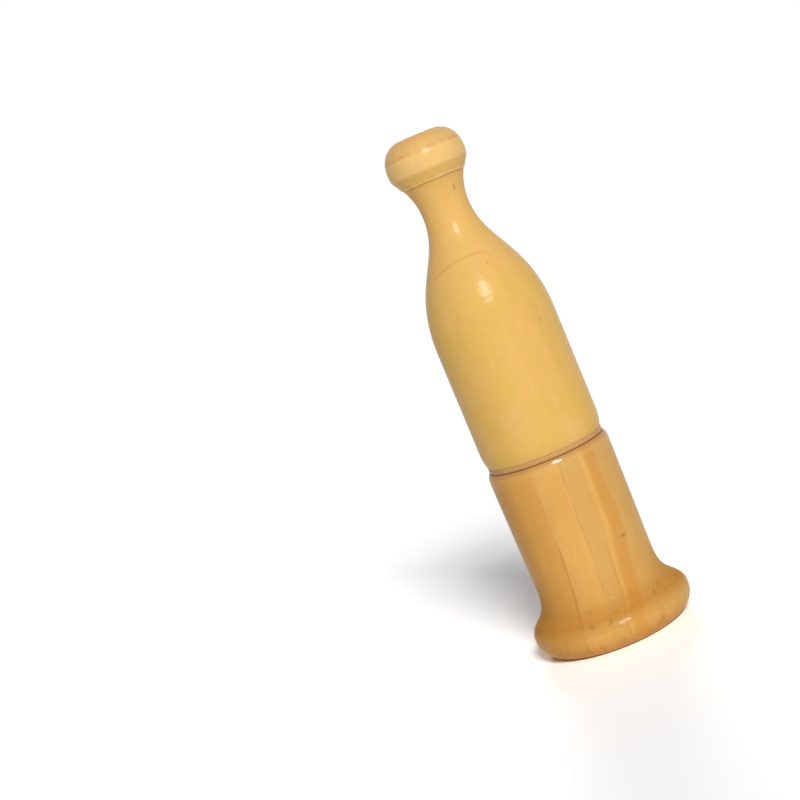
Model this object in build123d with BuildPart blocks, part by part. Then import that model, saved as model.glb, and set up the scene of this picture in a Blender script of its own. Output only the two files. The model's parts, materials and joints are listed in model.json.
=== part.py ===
from build123d import *
from math import cos, radians, sin, tan
import os

# A turned wooden duck call. A mouthpiece barrel is pushed on to the corked tenon of a flared bell, and a brass reed
# unit, pressed into the tenon, stands up inside the barrel. Sizes are in millimetres. The bell's base lies on z = 0,
# and the call's axis is +Z with the mouthpiece at the top.

# Bell, outside
bell_height = 55.2
rim_diameter = 46.1
rim_round = 6.2
rim_band_height = 1.0
rim_edge_round = 0.8
waist_diameter = 34.7
flare_height = 11.8
flare_lead_height = 4.3
flare_lead_inset = 1.2
flare_draw = 8.6
collar_diameter = 35.6
lip_height = 2.2
lip_inset = 0.7
lip_round = 0.12

# Bell, inside
base_ring_width = 2.85
mouth_lead = 3.5
mouth_edge_round = 0.8
throat_height = 28.0
throat_draw = 16.0
sound_bore_diameter = 12.0

# Tenon and its cork
tenon_diameter = 22.0
tenon_length = 20.0
tenon_lead = 1.0
tenon_wall = 1.8
cork_width = 10.0
cork_groove_depth = 1.2

# Washer between bell and barrel
washer_thickness = 1.35
washer_swell = 0.1
washer_edge_round = 0.1

# Barrel, outside, from its foot up
barrel_diameter = 35.0
foot_inset = 0.75
foot_round = 0.1
foot_curve_height = 4.8
body_height = 35.0
shoulder_height = 36.5
shoulder_swell = 20.3
neck_draw = 12.7
neck_diameter = 13.6
neck_flare_height = 8.8
knob_diameter = 22.8
knob_undercut = 2.15
neck_step = 0.25
neck_step_round = 0.12
knob_under_height = 5.6
knob_side_drop = 2.4
knob_side_inset = 0.25
knob_arris_round = 0.9
knob_crown_height = 7.4
knob_crown_lead = 3.9
knob_crown_run = 3.2
knob_crown_fall = 0.8
knob_top_diameter = 12.4

# Barrel, inside
blow_hole_diameter = 6.0
blow_hole_round = 0.8
chamber_step = 1.15
chamber_headroom = 4.0
drill_point_angle = 118.0
socket_headroom = 0.8

# Reed unit
block_length = 16.0
block_hole_diameter = 10.0
trough_wall = 0.8
trough_projection = 26.0
trough_tip_wall = 1.6
trough_tip_round = 1.2
reed_thickness = 0.25
reed_side_gap = 0.5
reed_root_setback = 1.0
reed_tip_setback = 0.8
reed_tip_round = 2.0
reed_set_angle = 2.2
wedge_projection = 2.5
wedge_bevel = 1.5

# Fits
press_gap = 0.02
running_gap = 0.05
sliding_gap = 0.15
joint_gap = 0.1
seat_gap = 0.05

# Radii
rim_radius = rim_diameter / 2
base_radius = rim_radius - rim_round
mouth_radius = base_radius - base_ring_width
waist_radius = waist_diameter / 2
collar_radius = collar_diameter / 2
sound_bore_radius = sound_bore_diameter / 2
tenon_radius = tenon_diameter / 2
cork_groove_radius = tenon_radius - cork_groove_depth
socket_radius = tenon_radius + sliding_gap
chamber_radius = socket_radius - chamber_step
barrel_radius = barrel_diameter / 2
foot_radius = barrel_radius - foot_inset
washer_radius = foot_radius + washer_swell
neck_radius = neck_diameter / 2
knob_radius = knob_diameter / 2
knob_collar_radius = knob_radius - knob_undercut
knob_top_radius = knob_top_diameter / 2
blow_hole_radius = blow_hole_diameter / 2
block_radius = cork_groove_radius - tenon_wall
block_hole_radius = block_hole_diameter / 2
trough_radius = block_hole_radius - press_gap
reed_half_width = block_hole_radius - reed_side_gap

# Heights above the bell's base
rim_edge_height = rim_round + rim_band_height
flare_top = rim_edge_height + flare_height
lip_bottom = bell_height - lip_height
tenon_top = bell_height + tenon_length
cork_bottom = bell_height + (tenon_length - cork_width) / 2
cork_top = cork_bottom + cork_width
block_bottom = tenon_top - block_length
washer_bottom = bell_height + joint_gap
foot = washer_bottom + washer_thickness + seat_gap
foot_curve_top = foot + foot_curve_height
shoulder_bottom = foot + body_height
neck = shoulder_bottom + shoulder_height
neck_top = neck + neck_flare_height
knob_widest = neck_top + knob_under_height
knob_top = knob_widest + knob_crown_height
trough_top = tenon_top + trough_projection
clamp_line = tenon_top + wedge_projection
reed_tip = trough_top - reed_tip_setback
socket_top = tenon_top + socket_headroom
chamber_top = trough_top + chamber_headroom
drill_point_height = (chamber_radius - blow_hole_radius) / tan(radians(drill_point_angle / 2))
blow_hole_bottom = chamber_top + drill_point_height

# Seat of the reed unit's pieces in the block's hole
unit_bottom = block_bottom + press_gap
trough_length = trough_top - unit_bottom
wedge_length = clamp_line - unit_bottom


def corner(section, point):
    """The section's vertex that lies at this point of its outline."""
    return section.vertices().sort_by_distance((*point, 0))[0]


def disc_segment(radius, side, start):
    """The part of a disc about the call's axis that lies beyond start, towards side (+1 or -1) along Y."""
    Circle(radius)
    with Locations((0, side * (start + radius / 2))):
        Rectangle(2 * radius, radius, mode=Mode.INTERSECT)


# Bell: turned in one piece with its tenon, and bored through
with BuildPart() as bell:
    mouth_edge = (mouth_radius, 0)
    base_edge = (base_radius, 0)
    rim_side = (rim_radius, rim_round)
    rim_edge = (rim_radius, rim_edge_height)
    flare_end = (waist_radius, flare_top)
    collar = (collar_radius, lip_bottom)
    lip = (collar_radius - lip_inset, bell_height)
    throat = (sound_bore_radius, throat_height)
    with BuildSketch(Plane.XZ) as bell_section:
        with BuildLine():
            Line(mouth_edge, base_edge)
            TangentArc(base_edge, rim_side, tangent=(1, 0))
            Line(rim_side, rim_edge)
            Bezier(
                rim_edge,
                (rim_radius - flare_lead_inset, rim_edge_height + flare_lead_height),
                (waist_radius, flare_top - flare_draw),
                flare_end,
            )
            Line(flare_end, collar)
            TangentArc(collar, lip, tangent=(collar_radius - waist_radius, lip_bottom - flare_top))
            Polyline(
                lip,
                (tenon_radius, bell_height),
                (tenon_radius, cork_bottom),
                (cork_groove_radius, cork_bottom),
                (cork_groove_radius, cork_top),
                (tenon_radius, cork_top),
                (tenon_radius, tenon_top - tenon_lead),
                (tenon_radius - tenon_lead, tenon_top),
                (block_radius, tenon_top),
                (block_radius, block_bottom),
                (sound_bore_radius, block_bottom),
                throat,
            )
            Bezier(
                throat,
                (sound_bore_radius, throat_height - throat_draw),
                (mouth_radius - mouth_lead, mouth_lead),
                mouth_edge,
            )
        make_face()
        fillet(corner(bell_section, rim_edge), rim_edge_round)
        fillet(corner(bell_section, lip), lip_round)
        fillet(corner(bell_section, mouth_edge), mouth_edge_round)
    revolve(axis=Axis.Z)

# Cork ring: seated in the tenon's groove, it grips the barrel's socket
with BuildPart() as tenon_cork:
    with BuildSketch(Plane.XY.offset(cork_bottom + press_gap)):
        Circle(socket_radius - running_gap)
        Circle(cork_groove_radius + press_gap, mode=Mode.SUBTRACT)
    extrude(amount=cork_width - 2 * press_gap)

# Joint washer: loose on the tenon, between the bell's shoulder and the barrel's foot
with BuildPart() as joint_washer:
    with BuildSketch(Plane.XY.offset(washer_bottom)):
        Circle(washer_radius)
        Circle(tenon_radius + running_gap, mode=Mode.SUBTRACT)
    extrude(amount=washer_thickness)
    outer_edges = joint_washer.edges().filter_by(GeomType.CIRCLE).sort_by(SortBy.RADIUS)[-2:]
    fillet(outer_edges, washer_edge_round)

# Mouthpiece barrel: socket and reed chamber bored from the foot, blow hole drilled from the knob
with BuildPart() as mouthpiece_barrel:
    foot_edge = (foot_radius, foot)
    side_start = (barrel_radius, foot_curve_top)
    shoulder_start = (barrel_radius, shoulder_bottom)
    neck_point = (neck_radius, neck)
    neck_end = (knob_collar_radius - neck_step, neck_top)
    knob_lower_edge = (knob_collar_radius, neck_top)
    knob_arris = (knob_radius - knob_side_inset, knob_widest - knob_side_drop)
    knob_side = (knob_radius, knob_widest)
    crown_edge = (knob_top_radius, knob_top)
    blow_hole_mouth = (blow_hole_radius, knob_top)
    with BuildSketch(Plane.XZ) as barrel_section:
        with BuildLine():
            Line((socket_radius, foot), foot_edge)
            TangentArc(side_start, foot_edge, tangent=(0, -1))
            Line(side_start, shoulder_start)
            Bezier(
                shoulder_start,
                (barrel_radius, shoulder_bottom + shoulder_swell),
                (neck_radius, neck - neck_draw),
                neck_point,
            )
            TangentArc(neck_point, neck_end, tangent=(0, 1))
            Polyline(neck_end, knob_lower_edge, knob_arris)
            TangentArc(knob_side, knob_arris, tangent=(0, -1))
            Bezier(
                knob_side,
                (knob_radius, knob_widest + knob_crown_lead),
                (knob_top_radius + knob_crown_run, knob_top - knob_crown_fall),
                crown_edge,
            )
            Polyline(
                crown_edge,
                blow_hole_mouth,
                (blow_hole_radius, blow_hole_bottom),
                (chamber_radius, chamber_top),
                (chamber_radius, socket_top),
                (socket_radius, socket_top),
                (socket_radius, foot),
            )
        make_face()
        fillet(corner(barrel_section, foot_edge), foot_round)
        fillet(corner(barrel_section, knob_lower_edge), neck_step_round)
        fillet(corner(barrel_section, knob_arris), knob_arris_round)
        fillet(corner(barrel_section, blow_hole_mouth), blow_hole_round)
    revolve(axis=Axis.Z)

# Reed block: a drilled plug pressed into the tenon, which holds the reed's three parts together
with BuildPart() as reed_block:
    with BuildSketch(Plane.XY.offset(unit_bottom)):
        Circle(block_radius - press_gap)
        Circle(block_hole_radius, mode=Mode.SUBTRACT)
    extrude(amount=tenon_top - unit_bottom)

# Reed trough: a half-round brass channel, closed at its tip, whose flat rim is the reed's table
with BuildPart() as reed_trough:
    with BuildSketch(Plane.XY.offset(unit_bottom)):
        disc_segment(trough_radius, -1, 0)
    extrude(amount=trough_length)
    tip_edges = reed_trough.edges().filter_by(GeomType.CIRCLE).sort_by(Axis.Z)[-1:]
    fillet(tip_edges, trough_tip_round)
    with BuildSketch(Plane.XY.offset(unit_bottom)):
        disc_segment(trough_radius - trough_wall, -1, 0)
    extrude(amount=trough_length - trough_tip_wall, mode=Mode.SUBTRACT)

# Reed: one brass strip, flat in the block and bent away from the table beyond the wedge
with BuildPart() as reed:
    rise = sin(radians(reed_set_angle))
    run = cos(radians(reed_set_angle))
    tongue_length = (reed_tip - clamp_line) / run
    table_side = press_gap
    wedge_side = press_gap + reed_thickness
    reed_bottom = block_bottom + reed_root_setback
    tip_inner = (table_side + tongue_length * rise, reed_tip)
    tip_outer = (tip_inner[0] + reed_thickness * run, reed_tip - reed_thickness * rise)
    bend_outer = (wedge_side, clamp_line - reed_thickness * tan(radians(reed_set_angle / 2)))
    with BuildSketch(Plane.YZ):
        with BuildLine():
            Polyline(
                (table_side, reed_bottom),
                (wedge_side, reed_bottom),
                bend_outer,
                tip_outer,
                tip_inner,
                (table_side, clamp_line),
                close=True,
            )
        make_face()
    extrude(amount=reed_half_width, both=True)
    tip_corners = reed.faces().sort_by(Axis.Z)[-1].edges().sort_by(SortBy.LENGTH)[:2]
    fillet(tip_corners, reed_tip_round)

# Reed wedge: fills the other half of the block's hole and clamps the reed on its table
with BuildPart() as reed_wedge:
    with BuildSketch(Plane.XY.offset(unit_bottom)):
        disc_segment(trough_radius, 1, wedge_side + press_gap)
    extrude(amount=wedge_length)
    bevel_edges = reed_wedge.edges().filter_by(GeomType.CIRCLE).sort_by(Axis.Z)[-1:]
    chamfer(bevel_edges, wedge_bevel)

os.makedirs("parts", exist_ok=True)
finished_pieces = {
    "bell": bell,
    "tenon_cork": tenon_cork,
    "joint_washer": joint_washer,
    "mouthpiece_barrel": mouthpiece_barrel,
    "reed_block": reed_block,
    "reed_trough": reed_trough,
    "reed": reed,
    "reed_wedge": reed_wedge,
}
for piece_name, piece in finished_pieces.items():
    piece.part.label = piece_name
    export_step(piece.part, f"parts/{piece_name}.step")
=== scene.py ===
"""A turned wooden duck call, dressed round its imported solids.

Lengths are in metres, in the solids' own frame. Places and heights on a material are in millimetres.
"""
import json
from math import hypot, radians, sqrt

import bpy
import numpy as np
from mathutils import Matrix, Vector


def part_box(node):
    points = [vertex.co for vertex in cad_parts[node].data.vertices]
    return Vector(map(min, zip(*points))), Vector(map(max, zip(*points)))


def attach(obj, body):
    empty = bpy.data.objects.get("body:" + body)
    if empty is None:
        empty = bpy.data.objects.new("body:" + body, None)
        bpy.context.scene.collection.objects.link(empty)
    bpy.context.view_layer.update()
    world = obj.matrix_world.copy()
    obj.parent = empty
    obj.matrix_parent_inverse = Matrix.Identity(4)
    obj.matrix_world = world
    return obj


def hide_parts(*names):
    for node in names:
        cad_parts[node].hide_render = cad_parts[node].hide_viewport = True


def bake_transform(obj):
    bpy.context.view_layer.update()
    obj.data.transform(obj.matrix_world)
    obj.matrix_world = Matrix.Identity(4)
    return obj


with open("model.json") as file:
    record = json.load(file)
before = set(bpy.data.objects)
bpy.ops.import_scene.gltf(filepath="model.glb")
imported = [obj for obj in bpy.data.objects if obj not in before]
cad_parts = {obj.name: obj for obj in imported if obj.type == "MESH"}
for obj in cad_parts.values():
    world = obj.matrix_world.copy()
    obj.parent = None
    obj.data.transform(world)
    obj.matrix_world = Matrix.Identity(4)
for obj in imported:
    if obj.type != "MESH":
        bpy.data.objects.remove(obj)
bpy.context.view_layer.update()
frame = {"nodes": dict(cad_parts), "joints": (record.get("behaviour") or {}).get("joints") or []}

MM = 0.001

# Camera: it stands in front of the call and is rolled, so that the call leans to the left in the picture
CAMERA_PLACE = Vector((-0.0320, -0.4978, 0.1332))
CAMERA_PITCH = radians(5.6)
CAMERA_ROLL = radians(22.8)
CAMERA_LENS = 81.0
CAMERA_SENSOR = 36.0

# Light: a soft lamp above the camera, a weaker one behind the call, a dim even room and a white floor
LAMP_DIRECTION = Vector((0.12, -0.845, 0.52))
LAMP_STRENGTH = 2.42
FILL_DIRECTION = Vector((0.1, 0.96, 0.25))
FILL_STRENGTH = 1.3
LAMP_ANGLE = radians(16)
ROOM_STRENGTH = 0.12
FLOOR_HALF_WIDTH = 6.0
FLOOR_SHOWN = 1.69

# Turned meshes
TURN_STEPS = 220
SHOWN_STEP = 0.55 * MM
HIDDEN_STEP = 2.0 * MM
SHOWN_END = 1.0 * MM
SEAM_TOLERANCE = 0.001 * MM
LEVEL_TOLERANCE = 1e-6 * MM
SURFACE_TOLERANCE = 0.05 * MM
SHARP_TURN = radians(16)
EASE_SHARE = 0.45
EASE_POINTS = 4
RELIEF_REACH = 0.8 * MM
RELIEF_UNIT = 0.1 * MM
INSIDE_DEPTH = 1.0 * MM
MOUTH_DEPTH = 2.5 * MM
BAKE_MAP = "OFBake"

# Unevenness that sanding by hand leaves
UNEVENNESS = 0.02 * MM
SANDED_LOBES = (2, 3, 5, 8)
SANDED_PITCH = 0.25 / MM
SANDED_LENGTH = 9.0 * MM
BELL_SEED = 3
BARREL_SEED = 5

# Eased corners and edges
CORNER_EASE = 0.12 * MM
CORK_EASE = 0.4 * MM
BLOCK_EASE = 0.2 * MM
TROUGH_EASE = 0.1 * MM
WEDGE_EASE = 0.15 * MM
EDGE_TURN = radians(28)
EDGE_SEGMENTS = 2

# Reed
REED_ROWS = 70
REED_ROW_POWER = 0.8
REED_COLUMNS = 13
REED_ROW_POINTS = 2 * REED_COLUMNS + 2
REED_TIP_ROUND = 2.0 * MM
REED_EDGE = 0.05 * MM
REED_BEND_LENGTH = 1.2 * MM

# Depth of the fine relief that materials add
SKIN_DEPTH = 0.02 * MM
SCUFF_DEPTH = 0.15 * MM
CORK_DEPTH = 0.08 * MM
BLOCK_DEPTH = 0.03 * MM
WEDGE_DEPTH = 0.04 * MM
BRASS_DEPTH = 0.01 * MM

# Varnish
UNDER_VARNISH = 0.04
COAT_WEIGHT = 0.12
COAT_ROUGHNESS = 0.1
BARREL_COAT_WEIGHT = 0.2
BARREL_COAT_ROUGHNESS = 0.22
FLARE_COAT_WEIGHT = 0.02
LIP_COAT_WEIGHT = 0.22

# The barrel's wood, in millimetres: a pair is where a change starts and where it ends
barrel_low, barrel_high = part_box("mouthpiece_barrel")
BARREL_RADIUS_MM = barrel_high.x / MM
BARREL_FOOT = barrel_low.z / MM
BARREL_TOP = barrel_high.z / MM
BARREL_PITH = (0.6, 6.0, 0.0)
BARREL_RING_WIDTH = 2.6
SHOULDER_TOP = BARREL_FOOT + 61.3
KNOB_BOTTOM = BARREL_TOP - 13.1
KNOB_EDGE = KNOB_BOTTOM + 0.35
KNOB_LINE_HEIGHT = BARREL_TOP - 4.4
# Painted shade: the barrel's foot is darker next to the joint
FOOT_SHADE = (BARREL_FOOT, BARREL_FOOT + 1.6)
# Painted light: the shoulder is made paler, as if lit from above
PAINTED_LIGHT_SHOULDER = (SHOULDER_TOP - 18.0, SHOULDER_TOP)
# Painted light: the knob is made paler, as if lit more strongly
PAINTED_LIGHT_KNOB = (KNOB_BOTTOM + 2.5, KNOB_BOTTOM + 4.0)
KNOB_CROWN = (KNOB_LINE_HEIGHT - 0.6, KNOB_LINE_HEIGHT + 1.0)
GROWTH_LINE_RING = 17.3
GROWTH_LINE_LEFT = (-12.0, -9.0)
GROWTH_LINE_RIGHT = (1.0, 7.0)
GROWTH_LINE_TOP = (SHOULDER_TOP, SHOULDER_TOP + 3.0)
BARREL_MARKS = (
    (4.0, 132.9, 0.5, 1.4, 0.55),
    (4.0, 110.9, 0.9, 0.5, 0.32),
    (11.4, 91.0, 0.5, 0.9, 0.28),
)
MARKS_FADE = (-2.0, 0.0)

# The bell's wood and the washer's leather, in the same way
JOINT_GAP = 0.1
BELL_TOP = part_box("joint_washer")[0].z / MM - JOINT_GAP
BELL_RADIUS_MM = 17.5
BELL_PITH = (-74.0, 7.0, 0.0)
RIM_TOP = 8.0
RING_LEAN = (5.0, 45.0)
LINES_CHANGE = (26.0, 36.0)
FLARE_START = (RIM_TOP, RIM_TOP + 1.0)
FLARE_END = (14.0, 26.0)
FLARE_DASHES = (RIM_TOP, 18.0)
DARK_RIM = (6.0, 12.0)
# Heights of the hollow above the rim, darkened as end grain and with painted shade
HOLLOW_START = (6.4, 7.2)
HOLLOW_NEAR = (9.5, 12.5)
HOLLOW_FAR = (9.0, 26.0)
LIP = (BELL_TOP - 5.0, BELL_TOP - 3.0)
# Painted shade with dirt on the lip, next to the joint
LIP_SHADE_AND_DIRT = (BELL_TOP - 2.0, BELL_TOP)
TENON_START = (BELL_TOP - 0.1, BELL_TOP + 0.1)
# Painted shade with dirt on the washer, next to the bell
WASHER_SHADE_AND_DIRT = (BELL_TOP + 0.1, BELL_TOP + 0.6)
# Painted light on the washer's upper part
PAINTED_LIGHT_WASHER = (BELL_TOP + 0.7, BELL_TOP + 1.4)
BELL_MARKS = (
    (10.0, 28.0, 1.8, 0.8, 0.4),
    (-7.8, 9.0, 1.3, 1.5, 0.4),
    (-2.7, 9.0, 0.7, 1.5, 0.4),
    (11.6, 10.8, 0.8, 1.2, 0.4),
)

# Wood of the pieces inside, in millimetres
BLOCK_PITH = (-14.0, 9.0, 0.0)
BLOCK_RING_WIDTH = 1.1
WEDGE_RING_WIDTH = 0.9

WHITE = (1, 1, 1, 1)


def srgb(red, green, blue):
    """A colour given in screen values from 0 to 255, as linear light, by the formula of the sRGB standard."""
    shares = np.array([red, green, blue]) / 255
    linear = np.where(shares <= 0.04045, shares / 12.92, ((shares + 0.055) / 1.055) ** 2.4)
    return (*linear.tolist(), 1.0)


def link(name, data):
    """A new object with this data, in the scene."""
    made = bpy.data.objects.new(name, data)
    bpy.context.scene.collection.objects.link(made)
    return made


# Sections read from the solids
def seam_loop(node):
    """The node's half section, read from its mesh's seam at +X: a closed loop of (radius, height)."""
    mesh = frame["nodes"][node].data
    neighbours = {}
    for edge in mesh.edges:
        ends = [mesh.vertices[index].co for index in edge.vertices]
        if all(abs(end.y) < SEAM_TOLERANCE and end.x > 0 for end in ends):
            first, second = [(round(end.x / SEAM_TOLERANCE), round(end.z / SEAM_TOLERANCE)) for end in ends]
            if first != second:
                neighbours.setdefault(first, set()).add(second)
                neighbours.setdefault(second, set()).add(first)
    start = min(neighbours)
    loop = [start]
    previous, current = None, start
    while True:
        ahead = sorted(neighbours[current] - {previous})[0]
        if ahead == start:
            break
        loop.append(ahead)
        previous, current = current, ahead
    points = np.array(loop, float) * SEAM_TOLERANCE
    following = np.roll(points, -1, axis=0)
    area = (points[:, 0] * following[:, 1] - following[:, 0] * points[:, 1]).sum()
    return points if area > 0 else points[::-1]


def turns(loop):
    """The angle by which a closed loop turns at each of its points, positive on outside corners."""
    before = loop - np.roll(loop, 1, axis=0)
    after = np.roll(loop, -1, axis=0) - loop
    cross = before[:, 0] * after[:, 1] - before[:, 1] * after[:, 0]
    along = (before * after).sum(axis=1)
    return np.arctan2(cross, along)


def side_lengths(loop):
    """The length of each side of a closed loop, from each of its points to the next."""
    return np.linalg.norm(np.roll(loop, -1, axis=0) - loop, axis=1)


def outer_radius(loop, heights):
    """The loop's largest radius at each of these heights."""
    found = np.zeros(len(heights))
    for (r0, z0), (r1, z1) in zip(loop, np.roll(loop, -1, axis=0)):
        low, high = min(z0, z1), max(z0, z1)
        within = (heights >= low - LEVEL_TOLERANCE) & (heights <= high + LEVEL_TOLERANCE)
        if high - low > LEVEL_TOLERANCE:
            radius = r0 + (r1 - r0) * np.clip((heights - z0) / (z1 - z0), 0, 1)
        else:
            radius = max(r0, r1)
        found = np.where(within, np.maximum(found, radius), found)
    return found


def on_outside(points, loop):
    """Which points of a section lie on its outside."""
    return points[:, 0] > outer_radius(loop, points[:, 1]) - SURFACE_TOLERANCE


def near_ends(points, loop, reach):
    """Which points of a section lie within this reach of its top or bottom."""
    heights = points[:, 1]
    return (heights > loop[:, 1].max() - reach) | (heights < loop[:, 1].min() + reach)


def smooth_run(points, loop):
    """A smooth curve through the points of a section between two corners, without the last of them."""
    steps = np.linalg.norm(np.diff(points, axis=0), axis=1)
    knots = np.concatenate([[0], np.cumsum(steps)])
    directions = np.diff(points, axis=0) / steps[:, None]
    inner = (points[2:] - points[:-2]) / (knots[2:] - knots[:-2])[:, None]
    slopes = np.concatenate([directions[:1], inner, directions[-1:]])
    middle = (points[:-1] + points[1:]) / 2
    shown = on_outside(middle, loop) | near_ends(middle, loop, SHOWN_END)
    made = []
    for index, length in enumerate(steps):
        count = int(np.ceil(length / (SHOWN_STEP if shown[index] else HIDDEN_STEP)))
        t = (np.arange(count) / count)[:, None]
        p0, p1 = points[index], points[index + 1]
        m0, m1 = slopes[index] * length, slopes[index + 1] * length
        made.append(
            (2 * t**3 - 3 * t**2 + 1) * p0
            + (t**3 - 2 * t**2 + t) * m0
            + (3 * t**2 - 2 * t**3) * p1
            + (t**3 - t**2) * m1
        )
    return np.clip(np.concatenate(made), loop.min(axis=0), loop.max(axis=0))


def eased_corner(before, corner, after, size):
    """Points on a small round in place of a sharp corner."""
    arms = [end - corner for end in (before, after)]
    reach = min(size, *(EASE_SHARE * np.linalg.norm(arm) for arm in arms))
    start, end = [corner + arm / np.linalg.norm(arm) * reach for arm in arms]
    t = np.linspace(0, 1, EASE_POINTS)[:, None]
    return (1 - t) ** 2 * start + 2 * t * (1 - t) * corner + t**2 * end


def fine_section(loop, corner_size):
    """A section with smooth curves, even steps and slightly eased corners."""
    corners = np.flatnonzero(np.abs(turns(loop)) > SHARP_TURN)
    loop = np.roll(loop, -corners[0], axis=0)
    corners = corners - corners[0]
    ends = [*corners[1:], len(loop)]
    closed = np.concatenate([loop, loop[:1]])
    runs = [smooth_run(closed[start:end + 1], loop) for start, end in zip(corners, ends)]
    made = []
    for index, run in enumerate(runs):
        next_run = runs[(index + 1) % len(runs)]
        ahead = run[1] if len(run) > 1 else next_run[0]
        behind = runs[index - 1][-1]
        made.append(eased_corner(behind, run[0], ahead, corner_size))
        made.append(run[1:])
    return np.concatenate(made)


def relief(section):
    """How far a section stands out from its smoothed course: positive on edges, negative in grooves."""
    lengths = side_lengths(section)
    across = np.roll(section, -1, axis=0) - np.roll(section, 1, axis=0)
    outward = np.stack([across[:, 1], -across[:, 0]], axis=1)
    outward /= np.linalg.norm(outward, axis=1)[:, None]
    place = np.cumsum(lengths) - lengths
    gap = np.abs(place[:, None] - place[None, :])
    gap = np.minimum(gap, lengths.sum() - gap)
    spans = (lengths + np.roll(lengths, 1)) / 2
    weight = np.exp(-0.5 * (gap / RELIEF_REACH) ** 2) * spans[None, :]
    smoothed = weight @ section / weight.sum(axis=1)[:, None]
    return ((section - smoothed) * outward).sum(axis=1) / RELIEF_UNIT


# Meshes turned from the sections
def sanded(height, angles, seed):
    """How deep sanding has gone at each height and angle, in slow waves round and along a piece."""
    draw = np.random.default_rng(seed)
    wave = np.zeros_like(height)
    for lobes in SANDED_LOBES:
        phase, slant = draw.uniform(0, 2 * np.pi, 2)
        pitch = draw.uniform(0.5, 1.5) * SANDED_PITCH / lobes
        round_piece = np.sin(lobes * angles[None, :] + pitch * height + phase)
        wave += round_piece * np.cos(slant + height / SANDED_LENGTH) / lobes
    return np.abs(wave)


def ring_quads(rings):
    """The faces between the rings of a turned mesh, whose last ring joins its first."""
    ring = np.arange(rings)[:, None] * TURN_STEPS
    next_ring = (np.arange(rings)[:, None] + 1) % rings * TURN_STEPS
    step = np.arange(TURN_STEPS)[None, :]
    next_step = (step + 1) % TURN_STEPS
    corners = [ring + step, ring + next_step, next_ring + next_step, next_ring + step]
    return np.stack(corners, axis=2).reshape(-1, 4)


def unrolled(section):
    """Where the corners of those faces lie on a flat map, with a turn across it and the section up it."""
    lengths = side_lengths(section)
    along = np.concatenate([[0], np.cumsum(lengths)]) / lengths.sum()
    turn = np.arange(TURN_STEPS + 1) / TURN_STEPS
    left, right = turn[None, :-1], turn[None, 1:]
    low, high = along[:-1, None], along[1:, None]
    corners = [(left, low), (right, low), (right, high), (left, high)]
    places = [np.stack(np.broadcast_arrays(*corner), axis=2) for corner in corners]
    return np.stack(places, axis=2).astype(np.float32)


def turned(name, node, body, material, corner_size, unevenness=0.0, seed=0):
    """A fine mesh turned from a node's section, with its outside uneven where a depth is given."""
    loop = seam_loop(node)
    section = fine_section(loop, corner_size)
    angles = np.arange(TURN_STEPS) / TURN_STEPS * 2 * np.pi
    radius = np.repeat(section[:, :1], TURN_STEPS, axis=1)
    height = np.repeat(section[:, 1:], TURN_STEPS, axis=1)
    if unevenness:
        outside = on_outside(section, loop)
        radius = radius - unevenness * sanded(height, angles, seed) * outside[:, None]
    points = np.stack([radius * np.cos(angles), radius * np.sin(angles), height], axis=2).reshape(-1, 3)
    mesh = bpy.data.meshes.new(name)
    mesh.from_pydata(points.tolist(), [], ring_quads(len(section)).tolist())
    mesh.shade_smooth()
    deep = section[:, 0] < outer_radius(loop, section[:, 1]) - INSIDE_DEPTH
    bare = deep & ~near_ends(section, loop, MOUTH_DEPTH)
    for attribute, values in (("relief", relief(section)), ("bare", bare)):
        added = mesh.attributes.new(attribute, "FLOAT", "POINT")
        added.data.foreach_set("value", np.repeat(values, TURN_STEPS).astype(np.float32))
    mesh.uv_layers.new(name=BAKE_MAP).uv.foreach_set("vector", unrolled(section).ravel())
    mesh.materials.append(material)
    made = link(name, mesh)
    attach(made, body)
    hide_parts(node)


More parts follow.
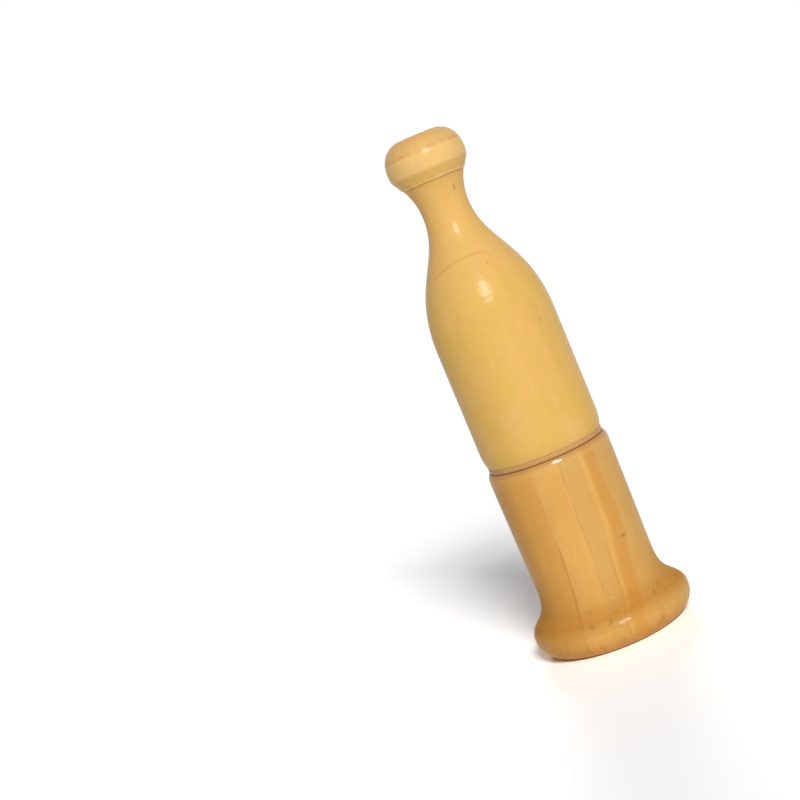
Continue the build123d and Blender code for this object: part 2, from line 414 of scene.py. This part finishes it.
# Nodes that materials and the room are made of
class Graph:
    """The nodes of a material or a world. Most methods add nodes and give the output of the last one."""

    def __init__(self, owner):
        owner.use_nodes = True
        self.owner = owner
        self.nodes = owner.node_tree.nodes
        self.links = owner.node_tree.links
        self.shader = self.nodes.get("Principled BSDF") or self.nodes["Background"]

    def put(self, socket, value):
        """Links an output to an input, or sets the input to a plain value."""
        if isinstance(value, bpy.types.NodeSocket):
            self.links.new(value, socket)
        else:
            socket.default_value = value

    def node(self, kind, inputs, **settings):
        """Adds a node, gives it its settings and fills its inputs."""
        made = self.nodes.new(kind)
        for setting, value in settings.items():
            setattr(made, setting, value)
        for position, value in inputs.items():
            self.put(made.inputs[position], value)
        return made

    def set(self, **values):
        """Sets or links the shader's inputs; a name's underscores stand for spaces."""
        for name, value in values.items():
            self.put(self.shader.inputs[name.replace("_", " ")], value)
        return self.owner

    def place(self):
        """Where a point lies on the piece, in millimetres."""
        found = self.nodes.new("ShaderNodeTexCoord").outputs["Object"]
        return self.vector("MULTIPLY", found, (1 / MM, 1 / MM, 1 / MM))

    def end_grain(self):
        """How far a surface faces along the call's axis, from 0 to 1."""
        normal = self.nodes.new("ShaderNodeTexCoord").outputs["Normal"]
        return self.math("ABSOLUTE", self.parts(normal)["Z"])

    def parts(self, vector):
        return self.node("ShaderNodeSeparateXYZ", {0: vector}).outputs

    def joined(self, x, y, z):
        return self.node("ShaderNodeCombineXYZ", {0: x, 1: y, 2: z}).outputs[0]

    def math(self, operation, first, second=0.0):
        return self.node("ShaderNodeMath", {0: first, 1: second}, operation=operation).outputs[0]

    def vector(self, operation, first, second):
        return self.node("ShaderNodeVectorMath", {0: first, 1: second}, operation=operation).outputs[0]

    def length(self, vector):
        return self.node("ShaderNodeVectorMath", {0: vector}, operation="LENGTH").outputs["Value"]

    def ramp(self, value, start, end, low=0.0, high=1.0):
        """A smooth step from low to high as value goes from start to end."""
        inputs = {0: value, 1: start, 2: end, 3: low, 4: high}
        return self.node("ShaderNodeMapRange", inputs, interpolation_type="SMOOTHSTEP").outputs[0]

    def mix(self, share, first, second):
        """The first colour, with this share of the second in it."""
        return self.node("ShaderNodeMix", {0: share, 6: first, 7: second}, data_type="RGBA").outputs[2]

    def noise(self, place, scale, detail=2.0, roughness=0.5):
        inputs = {"Vector": place, "Scale": scale, "Detail": detail, "Roughness": roughness}
        return self.node("ShaderNodeTexNoise", inputs).outputs["Fac"]

    def cells(self, place, scale, feature="F1"):
        inputs = {"Vector": place, "Scale": scale}
        return self.node("ShaderNodeTexVoronoi", inputs, feature=feature).outputs

    def attribute(self, name):
        return self.node("ShaderNodeAttribute", {}, attribute_name=name).outputs["Fac"]

    def bump(self, height, depth):
        inputs = {"Strength": 1.0, "Distance": depth, "Height": height}
        return self.node("ShaderNodeBump", inputs).outputs[0]

    def stretched(self, place, share):
        """Coordinates with only a share of the height, so that a pattern stretches along the call."""
        return self.vector("MULTIPLY", place, (1, 1, share))

    def round_call(self, place, radius):
        """Coordinates that run round the call at this radius."""
        flat = self.stretched(place, 0)
        direction = self.node("ShaderNodeVectorMath", {0: flat}, operation="NORMALIZE").outputs[0]
        return self.vector("MULTIPLY", direction, (radius, radius, 0))

    def with_height(self, flat, place, share):
        """Coordinates that run round the call, with a share of the height added."""
        return self.vector("ADD", flat, self.vector("MULTIPLY", place, (0, 0, share)))

    def from_pith(self, place, pith):
        """How far a point lies from the tree's centre line, which runs along the call."""
        return self.length(self.vector("SUBTRACT", self.stretched(place, 0), pith))

    def shade_and_wear(self, tone, dark, pale, edge_paling):
        """Darkens a tone in grooves with painted shade and dirt, and lightens it on edges with a painted
        highlight and rubbed wear.
        """
        standing = self.attribute("relief")
        # Painted shade, with dirt, in grooves
        tone = self.mix(self.ramp(standing, -1.2, -0.15, 0.35, 0.0), tone, dark)
        # Painted highlight, with rubbed wear, on edges
        return self.mix(self.ramp(standing, 0.15, 0.9, 0.0, edge_paling), tone, pale)

    def scuffs(self, place):
        """A normal for the varnish, with fine marks round the call that are deeper in some patches."""
        patches = self.ramp(self.noise(place, 0.06, 1.0), 0.4, 0.6, 0.7, 1.0)
        marks = self.noise(self.vector("MULTIPLY", place, (0.3, 0.3, 1.0)), 0.6, 1.0, 0.4)
        return self.bump(self.math("MULTIPLY", marks, patches), SCUFF_DEPTH)

    def varnish(self, weight, roughness, normal):
        """A clear coat, over wood that shines less by itself."""
        self.set(Coat_Weight=weight, Coat_Roughness=roughness, Coat_Normal=normal)
        self.set(Specular_IOR_Level=UNDER_VARNISH)


def material_graph(name):
    """The graph of a new material."""
    return Graph(bpy.data.materials.new(name))


# Materials of the pieces that show
def front_marks(graph, place, marks):
    """How dark short marks make the front. Each has x, z, half width, half length and darkness."""
    uneven = graph.joined(graph.noise(place, 0.9), 0.0, graph.noise(place, 1.1))
    bent = graph.vector("SUBTRACT", graph.vector("ADD", place, uneven), (0.5, 0.0, 0.5))
    found = 0.0
    for x, z, half_width, half_length, darkness in marks:
        away = graph.vector("SUBTRACT", bent, (x, 0, z))
        away = graph.length(graph.vector("MULTIPLY", away, (1 / half_width, 0, 1 / half_length)))
        found = graph.math("MAXIMUM", found, graph.ramp(away, 0.1, 1.0, darkness, 0.0))
    return graph.math("MULTIPLY", found, graph.ramp(graph.parts(place)["Y"], *MARKS_FADE, 1.0, 0.0))


def barrel_grain(graph, place, flat, patches, fibres):
    """The tones of the barrel's wood, with painted light making its shoulder and knob paler and painted shade
    darkening its foot.
    """
    height = graph.parts(place)["Z"]
    clouds = graph.noise(graph.with_height(flat, place, 0.8), 0.11, 2.0)
    tone = graph.mix(graph.ramp(clouds, 0.35, 0.65), srgb(236, 192, 98), srgb(241, 192, 110))
    tone = graph.mix(graph.ramp(patches, 0.4, 0.7, 0.0, 0.4), tone, srgb(229, 183, 86))
    tone = graph.mix(graph.ramp(fibres, 0.45, 0.75, 0.0, 0.06), tone, srgb(205, 150, 66))
    rings = graph.math("DIVIDE", graph.from_pith(place, BARREL_PITH), BARREL_RING_WIDTH)
    late = graph.ramp(graph.math("FRACT", rings), 0.1, 1.0, 0.0, 0.05)
    tone = graph.mix(late, tone, srgb(212, 156, 68))
    # Painted light: the shoulder is made paler, as if lit from above
    tone = graph.mix(graph.ramp(height, *PAINTED_LIGHT_SHOULDER, 0.0, 0.6), tone, srgb(239, 190, 113))
    # Painted light: the knob is made paler, as if lit more strongly
    tone = graph.mix(graph.ramp(height, *PAINTED_LIGHT_KNOB, 0.0, 0.8), tone, srgb(247, 204, 131))
    tone = graph.mix(graph.ramp(height, *KNOB_CROWN, 0.0, 0.5), tone, srgb(231, 172, 100))
    mottle = graph.noise(graph.with_height(flat, place, 0.7), 0.5, 3.0, 0.6)
    tone = graph.mix(graph.ramp(mottle, 0.35, 0.75, 0.0, 0.22), tone, srgb(226, 170, 84))
    # Painted shade: the barrel's foot is darker next to the joint
    return graph.mix(graph.ramp(height, *FOOT_SHADE, 0.4, 0.0), tone, srgb(208, 156, 96))


def barrel_lines(graph, place, broken):
    """How dark the barrel's thin lines are: one of a year's growth, and a broken one round the knob."""
    side = graph.parts(place)["X"]
    height = graph.parts(place)["Z"]
    sway = graph.ramp(graph.noise(graph.stretched(place, 0.4), 0.1, 1.0), 0.3, 0.7, -0.15, 0.15)
    off_ring = graph.math("SUBTRACT", graph.from_pith(place, BARREL_PITH), GROWTH_LINE_RING)
    off_ring = graph.math("ABSOLUTE", graph.math("ADD", off_ring, sway))
    shown = graph.ramp(side, *GROWTH_LINE_LEFT)
    shown = graph.math("MULTIPLY", shown, graph.ramp(side, *GROWTH_LINE_RIGHT, 1.0, 0.0))
    shown = graph.math("MULTIPLY", shown, graph.ramp(height, *GROWTH_LINE_TOP, 1.0, 0.0))
    growth_line = graph.math("MULTIPLY", graph.ramp(off_ring, 0.02, 0.26, 0.24, 0.0), shown)
    off_knob = graph.math("SUBTRACT", graph.math("ADD", height, sway), KNOB_LINE_HEIGHT)
    off_knob = graph.math("ABSOLUTE", off_knob)
    knob_line = graph.math("MULTIPLY", graph.ramp(off_knob, 0.05, 0.8, 1.0, 0.0), broken)
    return graph.math("MAXIMUM", growth_line, knob_line)


def barrel_wood():
    """Pale, close-grained wood under a satin varnish, and bare inside."""
    graph = material_graph("barrel_wood")
    place = graph.place()
    height = graph.parts(place)["Z"]
    flat = graph.round_call(place, BARREL_RADIUS_MM)
    patches = graph.noise(graph.with_height(flat, place, 0.2), 0.13, 3.0)
    fibres = graph.noise(graph.with_height(flat, place, 0.05), 1.7, 3.0, 0.6)
    sanding = graph.noise(graph.with_height(flat, place, 3.0), 0.6, 3.0, 0.6)
    broken = graph.ramp(graph.noise(flat, 0.12, 2.0), 0.35, 0.65, 0.12, 0.4)

    tone = barrel_grain(graph, place, flat, patches, fibres)
    tone = graph.mix(barrel_lines(graph, place, broken), tone, srgb(196, 116, 62))
    pores = graph.cells(graph.stretched(place, 0.35), 0.075)["Distance"]
    marks = graph.ramp(pores, 0.015, 0.04, 0.4, 0.0)
    marks = graph.math("MAXIMUM", marks, front_marks(graph, place, BARREL_MARKS))
    tone = graph.mix(marks, tone, srgb(140, 92, 32))
    # Painted shade with dirt in the barrel's grooves, and a painted highlight with wear on its edges
    tone = graph.shade_and_wear(tone, dark=srgb(190, 130, 66), pale=srgb(246, 206, 130), edge_paling=0.15)
    # A painted glint: a broken pale line along the knob's lower edge
    off_edge = graph.math("ABSOLUTE", graph.math("SUBTRACT", height, KNOB_EDGE))
    painted_edge_glint = graph.math("MULTIPLY", graph.ramp(off_edge, 0.1, 0.45, 1.5, 0.0), broken)
    tone = graph.mix(painted_edge_glint, tone, srgb(255, 222, 152))
    bare = graph.attribute("bare")
    tone = graph.mix(bare, tone, graph.mix(fibres, srgb(206, 160, 92), srgb(178, 128, 66)))

    rough = graph.ramp(patches, 0.3, 0.7, 0.34, 0.42)
    rough = graph.math("ADD", rough, graph.math("MULTIPLY", bare, 0.35))
    skin = graph.bump(graph.math("ADD", graph.math("MULTIPLY", fibres, 0.5), sanding), SKIN_DEPTH)
    graph.varnish(BARREL_COAT_WEIGHT, BARREL_COAT_ROUGHNESS, graph.scuffs(place))
    return graph.set(Base_Color=tone, Roughness=rough, Normal=skin)


def front_ring(x):
    """How far the bell's front lies from the tree's centre line, at this place across it."""
    return hypot(x - BELL_PITH[0], sqrt(BELL_RADIUS_MM**2 - x**2) + BELL_PITH[1])


def bell_bands(graph, ring, height):
    """The tones of the bell's years of growth, from left to right, and how dark the lines between are."""
    orange = srgb(221, 160, 78)
    honey = srgb(228, 168, 84)
    pale = srgb(234, 179, 97)
    fawn = srgb(224, 174, 97)
    bands = (
        (-14.0, honey, 1.2, 0.0, 0.0),
        (-7.4, pale, 0.6, 0.34, 0.08),
        (0.4, fawn, 0.3, 0.06, 0.16),
        (5.7, pale, 0.6, 0.2, 0.08),
        (7.7, orange, 0.6, 0.06, 0.03),
        (11.0, fawn, 0.6, 0.05, 0.05),
    )
    tone = orange
    lines = 0.0
    for x, next_tone, softness, low_line, high_line in bands:
        off = graph.math("SUBTRACT", ring, front_ring(x))
        tone = graph.mix(graph.ramp(off, -softness, softness), tone, next_tone)
        darkness = graph.ramp(height, *LINES_CHANGE, low_line, high_line)
        near = graph.ramp(graph.math("ABSOLUTE", off), 0.05, 0.55, 1.0, 0.0)
        lines = graph.math("MAXIMUM", lines, graph.math("MULTIPLY", near, darkness))
    return tone, lines


def bell_grain(graph, place, streaks, fibres):
    """The tones of the bell's wood, and how dark its growth lines are."""
    height = graph.parts(place)["Z"]
    sway = graph.noise(graph.stretched(place, 0.6), 0.08, 2.0)
    ring = graph.math("ADD", graph.from_pith(place, BELL_PITH), graph.ramp(sway, 0.25, 0.75, -0.5, 0.5))
    ring = graph.math("ADD", ring, graph.ramp(height, *RING_LEAN, 2.0, -0.1))
    tone, lines = bell_bands(graph, ring, height)
    clouds = graph.noise(graph.stretched(place, 0.6), 0.16, 2.0)
    tone = graph.mix(graph.ramp(clouds, 0.4, 0.7, 0.0, 0.3), tone, srgb(218, 160, 76))
    tone = graph.mix(graph.ramp(streaks, 0.45, 0.75, 0.0, 0.2), tone, srgb(212, 154, 72))
    tone = graph.mix(graph.ramp(fibres, 0.45, 0.75, 0.0, 0.1), tone, srgb(182, 122, 50))
    broken = graph.ramp(graph.noise(graph.stretched(place, 0.7), 0.12, 2.0), 0.35, 0.6, 0.3, 1.0)
    lines = graph.math("MULTIPLY", lines, broken)
    return graph.mix(lines, tone, srgb(150, 92, 36)), lines


def dark_flare(graph, place, tone):
    """Darkens a tone on end grain, in dashes low on the bell, a little on the rim, and in the hollow above
    the rim as darker end grain and painted shade.
    """
    height = graph.parts(place)["Z"]
    end = graph.ramp(graph.end_grain(), 0.2, 0.75)
    tone = graph.mix(graph.math("MULTIPLY", end, 0.38), tone, srgb(206, 138, 56))
    dashes = graph.noise(graph.stretched(place, 0.3), 0.32, 2.0, 0.55)
    dashes = graph.ramp(dashes, 0.55, 0.7, 0.0, 0.3)
    dashes = graph.math("MULTIPLY", dashes, graph.ramp(height, *FLARE_DASHES, 1.0, 0.0))
    tone = graph.mix(dashes, tone, srgb(176, 112, 42))
    tone = graph.mix(graph.ramp(height, *DARK_RIM, 0.1, 0.0), tone, srgb(192, 126, 50))
    near = graph.ramp(height, *HOLLOW_NEAR, 0.44, 0.0)
    far = graph.ramp(height, *HOLLOW_FAR, 0.27, 0.0)
    # The hollow above the rim: darker end grain with painted shade
    hollow_shade_and_grain = graph.math("MULTIPLY", graph.math("MAXIMUM", near, far), graph.ramp(height, *HOLLOW_START))
    return graph.mix(hollow_shade_and_grain, tone, srgb(196, 130, 50))


def bell_wood():
    """Warmer wood with growth bands along the bell, duller on the flare, and bare on the tenon and inside."""
    graph = material_graph("bell_wood")
    place = graph.place()
    height = graph.parts(place)["Z"]
    streaks = graph.noise(graph.stretched(place, 0.07), 0.42, 2.0)
    fibres = graph.noise(graph.stretched(place, 0.05), 1.9, 3.0, 0.6)

    tone, lines = bell_grain(graph, place, streaks, fibres)
    tone = dark_flare(graph, place, tone)
    tone = graph.mix(front_marks(graph, place, BELL_MARKS), tone, srgb(158, 98, 36))
    # Painted shade with dirt darkens the lip next to the joint
    tone = graph.mix(graph.ramp(height, *LIP_SHADE_AND_DIRT, 0.0, 0.6), tone, srgb(160, 108, 66))
    # Painted shade with dirt in the bell's grooves, and a painted highlight with wear on its edges
    tone = graph.shade_and_wear(tone, dark=srgb(146, 88, 40), pale=srgb(242, 190, 106), edge_paling=0.2)
    bare = graph.math("MAXIMUM", graph.attribute("bare"), graph.ramp(height, *TENON_START))
    tone = graph.mix(bare, tone, graph.mix(fibres, srgb(198, 144, 80), srgb(160, 106, 54)))

    flare = graph.ramp(height, *FLARE_START)
    flare = graph.math("MULTIPLY", flare, graph.ramp(height, *FLARE_END, 1.0, 0.0))
    rough = graph.ramp(streaks, 0.3, 0.7, 0.34, 0.42)
    rough = graph.math("ADD", rough, graph.math("MULTIPLY", flare, 0.25))
    rough = graph.math("ADD", rough, graph.math("MULTIPLY", bare, 0.3))
    skin = graph.bump(graph.math("SUBTRACT", graph.math("MULTIPLY", fibres, 0.6), lines), SKIN_DEPTH)
    coat_weight = graph.ramp(flare, 0.0, 1.0, COAT_WEIGHT, FLARE_COAT_WEIGHT)
    coat_weight = graph.math("ADD", coat_weight, graph.ramp(height, *LIP, 0.0, LIP_COAT_WEIGHT))
    graph.varnish(coat_weight, COAT_ROUGHNESS, graph.scuffs(place))
    return graph.set(Base_Color=tone, Roughness=rough, Normal=skin)


def washer_leather():
    """Tan leather with a smooth, slightly waxed cut edge, darker with painted shade and dirt where it meets
    the bell, and paler on its upper part with painted light.
    """
    graph = material_graph("washer_leather")
    place = graph.place()
    height = graph.parts(place)["Z"]
    fibre = graph.noise(place, 2.4, 4.0, 0.65)
    patches = graph.noise(place, 0.25, 2.0)
    tone = graph.mix(graph.ramp(patches, 0.3, 0.7), srgb(208, 154, 102), srgb(214, 162, 106))
    tone = graph.mix(graph.ramp(fibre, 0.45, 0.75, 0.0, 0.2), tone, srgb(196, 138, 88))
    # Painted light: the washer's upper part is made paler, as if lit from above
    tone = graph.mix(graph.ramp(height, *PAINTED_LIGHT_WASHER, 0.0, 0.5), tone, srgb(222, 174, 104))
    # Painted shade with dirt darkens the washer where it meets the bell
    tone = graph.mix(graph.ramp(height, *WASHER_SHADE_AND_DIRT, 0.55, 0.0), tone, srgb(140, 88, 54))
    rough = graph.ramp(fibre, 0.3, 0.7, 0.34, 0.45)
    skin = graph.bump(fibre, SKIN_DEPTH)
    graph.varnish(COAT_WEIGHT, COAT_ROUGHNESS, skin)
    return graph.set(Base_Color=tone, Roughness=rough, Normal=skin)


# Materials of the pieces inside
def cork():
    """Sanded cork: packed grains of mixed browns, with dark pits between them."""
    graph = material_graph("cork")
    place = graph.place()
    bent = graph.vector("ADD", place, graph.joined(graph.noise(place, 0.9), graph.noise(place, 1.1), 0.0))
    grains = graph.cells(bent, 0.75)
    grain_tone = graph.node("ShaderNodeSeparateColor", {0: grains["Color"]}).outputs["Red"]
    seams = graph.cells(bent, 0.75, "DISTANCE_TO_EDGE")["Distance"]
    fine = graph.noise(place, 3.5, 4.0, 0.6)
    tone = graph.mix(grain_tone, srgb(176, 124, 78), srgb(208, 160, 108))
    tone = graph.mix(graph.ramp(fine, 0.45, 0.75, 0.0, 0.45), tone, srgb(140, 90, 54))
    gap = graph.ramp(seams, 0.0, 0.07, 1.0, 0.0)
    gap = graph.math("MULTIPLY", gap, graph.ramp(fine, 0.35, 0.6, 0.2, 1.0))
    tone = graph.mix(graph.math("MULTIPLY", gap, 0.75), tone, srgb(92, 56, 34))
    height = graph.math("SUBTRACT", graph.math("MULTIPLY", fine, 0.4), gap)
    return graph.set(Base_Color=tone, Roughness=0.72, Normal=graph.bump(height, CORK_DEPTH))


def block_wood():
    """Bare close-grained wood, with its rings on the end that faces up."""
    graph = material_graph("block_wood")
    place = graph.place()
    ring = graph.math("ADD", graph.from_pith(place, BLOCK_PITH), graph.noise(place, 0.2))
    late = graph.ramp(graph.math("FRACT", graph.math("DIVIDE", ring, BLOCK_RING_WIDTH)), 0.5, 1.0)
    fibres = graph.noise(graph.stretched(place, 0.06), 2.6, 3.0, 0.6)
    tone = graph.mix(graph.math("MULTIPLY", late, 0.6), srgb(224, 182, 112), srgb(196, 146, 80))
    tone = graph.mix(graph.ramp(fibres, 0.45, 0.7, 0.0, 0.4), tone, srgb(178, 128, 68))
    return graph.set(Base_Color=tone, Roughness=0.6, Normal=graph.bump(fibres, BLOCK_DEPTH))


def wedge_wood():
    """Bare reddish cedar with close straight grain."""
    graph = material_graph("wedge_wood")
    place = graph.place()
    sway = graph.noise(graph.stretched(place, 0.1), 0.3)
    across = graph.math("ADD", graph.parts(place)["X"], graph.ramp(sway, 0.2, 0.8, -0.8, 0.8))
    late = graph.ramp(graph.math("FRACT", graph.math("DIVIDE", across, WEDGE_RING_WIDTH)), 0.45, 1.0)
    fibres = graph.noise(graph.stretched(place, 0.06), 3.0, 3.0, 0.6)
    tone = graph.mix(graph.math("MULTIPLY", late, 0.7), srgb(196, 130, 84), srgb(146, 82, 50))
    tone = graph.mix(graph.ramp(fibres, 0.45, 0.7, 0.0, 0.4), tone, srgb(120, 64, 38))
    return graph.set(Base_Color=tone, Roughness=0.65, Normal=graph.bump(fibres, WEDGE_DEPTH))


def brass(name, bright, dull, tarnish):
    """Drawn or rolled brass with fine lines along its length and brown tarnish in patches."""
    graph = material_graph(name)
    place = graph.place()
    lines = graph.noise(graph.stretched(place, 0.03), 5.0, 3.0, 0.6)
    patches = graph.noise(place, 0.32, 4.0, 0.6)
    tone = graph.mix(graph.ramp(lines, 0.35, 0.7), bright, dull)
    tone = graph.mix(graph.ramp(patches, 0.45, 0.7, 0.0, tarnish), tone, srgb(140, 98, 52))
    rough = graph.ramp(lines, 0.3, 0.7, 0.24, 0.36)
    rough = graph.math("ADD", rough, graph.ramp(patches, 0.4, 0.7, 0.0, 0.18))
    return graph.set(Base_Color=tone, Metallic=1.0, Roughness=rough, Normal=graph.bump(lines, BRASS_DEPTH))


# Pieces that aren't turned
def eased_node(node, material, width):
    """Finishes a CAD node with its material and with finely eased edges."""
    piece = frame["nodes"][node]
    piece.material_slots[0].material = material
    weld = piece.modifiers.new("weld", "WELD")
    weld.merge_threshold = SEAM_TOLERANCE
    ease = piece.modifiers.new("ease", "BEVEL")
    ease.width = width
    ease.segments = EDGE_SEGMENTS
    ease.limit_method = "ANGLE"
    ease.angle_limit = EDGE_TURN
    ease.harden_normals = False


def reed_points(low, high, hinge):
    """The strip's points, row by row from root to tip: across its table side and back across the other."""
    thickness = 2 * (hinge.y - low.y)
    slope = (high.y - low.y - thickness) / (high.z - hinge.z)
    # Rows lie closer together towards the tip
    rows = np.linspace(0, 1, REED_ROWS) ** REED_ROW_POWER
    heights = low.z + (high.z - low.z) * rows
    beyond = heights - hinge.z
    bend = slope * (beyond + np.sqrt(beyond**2 + REED_BEND_LENGTH**2)) / 2
    bend -= bend[0]
    into_round = np.clip((heights - (high.z - REED_TIP_ROUND)) / REED_TIP_ROUND, 0, 1)
    widths = high.x - REED_TIP_ROUND * (1 - np.sqrt(1 - into_round**2))
    shares = np.linspace(-1, 1, REED_COLUMNS)
    points = []
    for height, lift, width in zip(heights, bend, widths):
        inner = low.y + lift
        outer = inner + thickness
        flat = width - REED_EDGE
        points += [(share * flat, inner, height) for share in shares]
        points.append((width, (inner + outer) / 2, height))
        points += [(share * flat, outer, height) for share in shares[::-1]]
        points.append((-width, (inner + outer) / 2, height))
    return points


def reed_faces():
    """The faces between the strip's rows, and one at each of its ends."""
    faces = []
    for row in range(REED_ROWS - 1):
        first, second = row * REED_ROW_POINTS, (row + 1) * REED_ROW_POINTS
        for column in range(REED_ROW_POINTS):
            after = (column + 1) % REED_ROW_POINTS
            faces.append((first + column, first + after, second + after, second + column))
    root = range(REED_ROW_POINTS)
    tip = range((REED_ROWS - 1) * REED_ROW_POINTS, REED_ROWS * REED_ROW_POINTS)
    return [*faces, tuple(reversed(root)), tuple(tip)]


def reed_strip():
    """One brass strip: flat where the wedge clamps it, and bent gently away from its table beyond."""
    low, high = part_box("reed")
    hinge = Vector(next(joint["pos_m"] for joint in frame["joints"] if joint["name"] == "reed_beat"))
    mesh = bpy.data.meshes.new("reed_strip")
    mesh.from_pydata(reed_points(low, high, hinge), [], reed_faces())
    mesh.materials.append(brass("reed_brass", srgb(226, 190, 114), srgb(206, 168, 92), 0.3))
    made = link("reed_strip", mesh)
    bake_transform(made)
    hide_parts("reed")


# Floor, light and camera
def seen_as_white(graph):
    """1 for the camera and for what mirrors or lets through its view, and 0 for the light itself."""
    path = graph.nodes.new("ShaderNodeLightPath").outputs
    seen = graph.math("MAXIMUM", path["Is Camera Ray"], path["Is Glossy Ray"])
    return graph.math("MAXIMUM", seen, path["Is Transmission Ray"])


def floor_white():
    """A white floor that keeps the shadow and is lifted to plain white for the camera."""
    graph = material_graph("floor_white")
    tone = graph.mix(seen_as_white(graph), WHITE, (FLOOR_SHOWN, FLOOR_SHOWN, FLOOR_SHOWN, 1))
    return graph.set(Base_Color=tone, Roughness=1.0, Specular_IOR_Level=0.0)


def make_floor():
    half = FLOOR_HALF_WIDTH
    corners = [(-half, -half, 0), (half, -half, 0), (half, half, 0), (-half, half, 0)]
    mesh = bpy.data.meshes.new("floor")
    mesh.from_pydata(corners, [], [(0, 1, 2, 3)])
    mesh.materials.append(floor_white())
    link("floor", mesh)


def make_lamp(name, direction, strength):
    """A far lamp, wide enough to give soft shadows."""
    lamp = bpy.data.lights.new(name, "SUN")
    lamp.energy = strength
    lamp.angle = LAMP_ANGLE
    made = link(name, lamp)
    made.rotation_mode = "QUATERNION"
    made.rotation_quaternion = direction.to_track_quat("Z", "Y")
    return made


def make_room():
    """An even white room, which the camera sees as plain white."""
    graph = Graph(bpy.data.worlds.new("room"))
    strength = graph.ramp(seen_as_white(graph), 0.0, 1.0, ROOM_STRENGTH, 1.0)
    bpy.context.scene.world = graph.set(Color=WHITE, Strength=strength)


def make_camera():
    lens = bpy.data.cameras.new("camera")
    lens.lens = CAMERA_LENS
    lens.sensor_width = CAMERA_SENSOR
    made = link("camera", lens)
    level = Matrix.Rotation(radians(90) - CAMERA_PITCH, 4, "X")
    made.matrix_world = Matrix.Translation(CAMERA_PLACE) @ level @ Matrix.Rotation(-CAMERA_ROLL, 4, "Z")
    bpy.context.scene.camera = made


# Pieces of the call
turned("bell_turned", "bell", "bell", bell_wood(), CORNER_EASE, UNEVENNESS, BELL_SEED)
turned(
    "barrel_turned", "mouthpiece_barrel", "barrel", barrel_wood(),
    CORNER_EASE, UNEVENNESS, BARREL_SEED,
)
turned("washer_ring", "joint_washer", "washer", washer_leather(), CORNER_EASE)
turned("cork_ring", "tenon_cork", "bell", cork(), CORK_EASE)
turned("block_plug", "reed_block", "bell", block_wood(), BLOCK_EASE)
eased_node("reed_trough", brass("trough_brass", srgb(214, 176, 98), srgb(190, 150, 78), 0.55), TROUGH_EASE)
eased_node("reed_wedge", wedge_wood(), WEDGE_EASE)
reed_strip()

# Its surroundings
make_floor()
make_lamp("lamp", LAMP_DIRECTION, LAMP_STRENGTH)
fill = make_lamp("fill", FILL_DIRECTION, FILL_STRENGTH)
fill.visible_glossy = False
make_room()
make_camera()
bpy.context.scene.view_settings.view_transform = "Standard"
